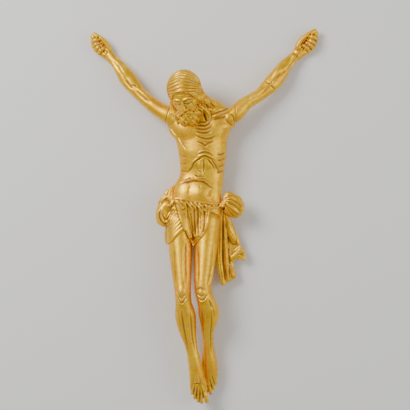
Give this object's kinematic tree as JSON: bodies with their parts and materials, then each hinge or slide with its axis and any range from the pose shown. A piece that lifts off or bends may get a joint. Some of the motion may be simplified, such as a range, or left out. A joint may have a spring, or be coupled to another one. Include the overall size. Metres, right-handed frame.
{
  "type": "wooden christ figure",
  "caption": "Carved and gilded wooden crucifix figure without its cross, arms raised, head bowed, knotted loincloth, crossed feet; lies on its back or is fixed to a cross.",
  "frame": {"origin": "middle of the outline, on the plane that the back lies on", "axes": "+Z out of the figure's front, +Y towards the raised hands, +X to the figure's own left"},
  "size_m": [0.275, 0.4501, 0.0707],
  "materials": {
    "gilding": "old gold leaf over red-brown ground on carved wood, satin, rubbed pale on edges and darker in hollows"
  },
  "bodies": {
    "root": {"figure_body": "gilding", "right_arm": "gilding", "left_arm": "gilding"}
  },
  "joints": []
}
